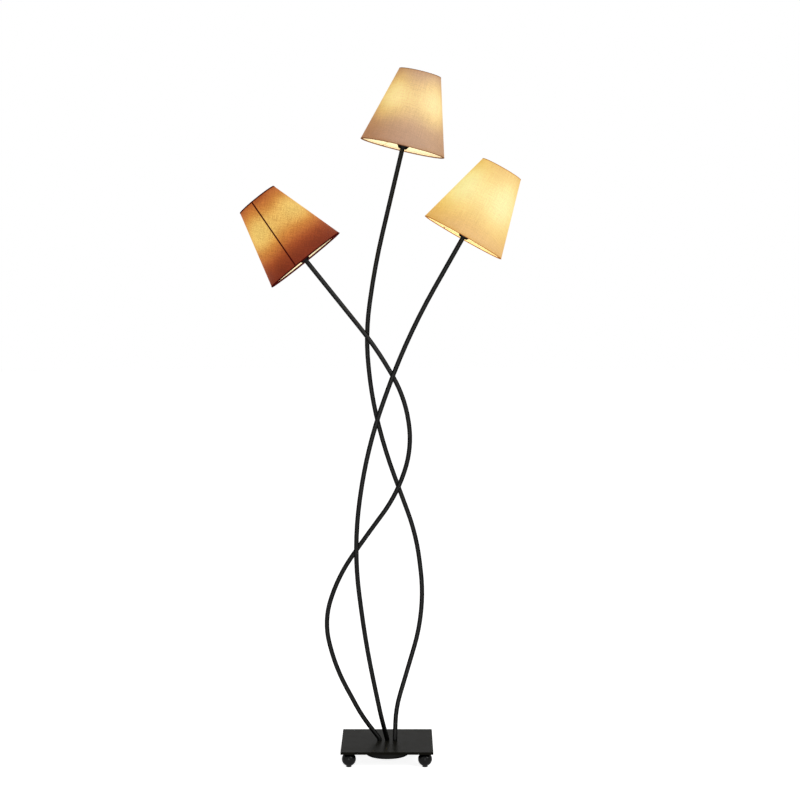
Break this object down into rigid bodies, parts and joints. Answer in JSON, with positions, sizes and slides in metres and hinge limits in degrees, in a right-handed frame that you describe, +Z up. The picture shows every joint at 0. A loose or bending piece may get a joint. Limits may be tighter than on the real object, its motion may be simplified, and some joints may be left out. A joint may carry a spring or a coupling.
{
  "type": "floor lamp",
  "caption": "Floor lamp with bent tube stems that weave up from a square plate on ball feet, each with its own tilted cone shade.",
  "frame": {"origin": "on the floor under the middle of the base plate", "axes": "+X to the right as seen from the front, +Y towards the back, +Z up"},
  "size_m": [0.6031, 0.2847, 1.5085],
  "materials": {
    "plate_paint": "satin",
    "stem_paint": "satin",
    "cover_paint": "satin",
    "foot_lacquer": "gloss",
    "foot_felt": "matte",
    "bush_rubber": "matte",
    "zinc_steel": "satin",
    "washer_fibre": "matte",
    "brass_parts": "satin",
    "block_plastic": "matte",
    "lead_plastic": "matte",
    "holder_plastic": "satin",
    "cap_metal": "satin",
    "bulb_glass": "frosted",
    "frame_wire": "satin",
    "left_cloth": "woven",
    "right_cloth": "woven",
    "top_cloth": "woven"
  },
  "bodies": {
    "base": {"base_plate": "plate_paint", "foot_balls": "foot_lacquer", "foot_studs": "zinc_steel", "foot_pads": "foot_felt", "base_cover": "cover_paint", "cable_bush": "bush_rubber", "cover_posts": "zinc_steel", "cover_screws": "zinc_steel", "terminal_block": "block_plastic", "terminal_clamps": "brass_parts", "terminal_screws": "zinc_steel", "cord_clamp": "block_plastic", "clamp_screws": "zinc_steel"},
    "left_arm": {"left_stem": "stem_paint", "left_lead": "lead_plastic", "left_pivot_washer": "washer_fibre", "left_pivot_spring": "zinc_steel", "left_pivot_nut": "zinc_steel", "left_socket_cup": "holder_plastic", "left_lampholder": "holder_plastic", "left_screw_shell": "brass_parts", "left_centre_contact": "brass_parts", "left_shade_ring": "holder_plastic", "left_bulb_cap": "cap_metal", "left_bulb": "bulb_glass", "left_shade_frame": "frame_wire", "left_top_wire": "frame_wire", "left_shade": "left_cloth"},
    "right_arm": {"right_stem": "stem_paint", "right_lead": "lead_plastic", "right_pivot_washer": "washer_fibre", "right_pivot_spring": "zinc_steel", "right_pivot_nut": "zinc_steel", "right_socket_cup": "holder_plastic", "right_lampholder": "holder_plastic", "right_screw_shell": "brass_parts", "right_centre_contact": "brass_parts", "right_shade_ring": "holder_plastic", "right_bulb_cap": "cap_metal", "right_bulb": "bulb_glass", "right_shade_frame": "frame_wire", "right_top_wire": "frame_wire", "right_shade": "right_cloth"},
    "top_arm": {"top_stem": "stem_paint", "top_lead": "lead_plastic", "top_pivot_washer": "washer_fibre", "top_pivot_spring": "zinc_steel", "top_pivot_nut": "zinc_steel", "top_socket_cup": "holder_plastic", "top_lampholder": "holder_plastic", "top_screw_shell": "brass_parts", "top_centre_contact": "brass_parts", "top_shade_ring": "holder_plastic", "top_bulb_cap": "cap_metal", "top_bulb": "bulb_glass", "top_shade_frame": "frame_wire", "top_top_wire": "frame_wire", "top_shade": "top_cloth"}
  },
  "joints": [
    {"name": "left_swivel", "type": "hinge", "parent": "base", "child": "left_arm", "pos_m": [-0.017, 0, 0.036], "axis": [0, 0, 1], "range_deg": [-15, 15]},
    {"name": "right_swivel", "type": "hinge", "parent": "base", "child": "right_arm", "pos_m": [0, 0, 0.036], "axis": [0, 0, 1], "range_deg": [-15, 15]},
    {"name": "top_swivel", "type": "hinge", "parent": "base", "child": "top_arm", "pos_m": [0.017, 0, 0.036], "axis": [0, 0, 1], "range_deg": [-15, 15]}
  ]
}
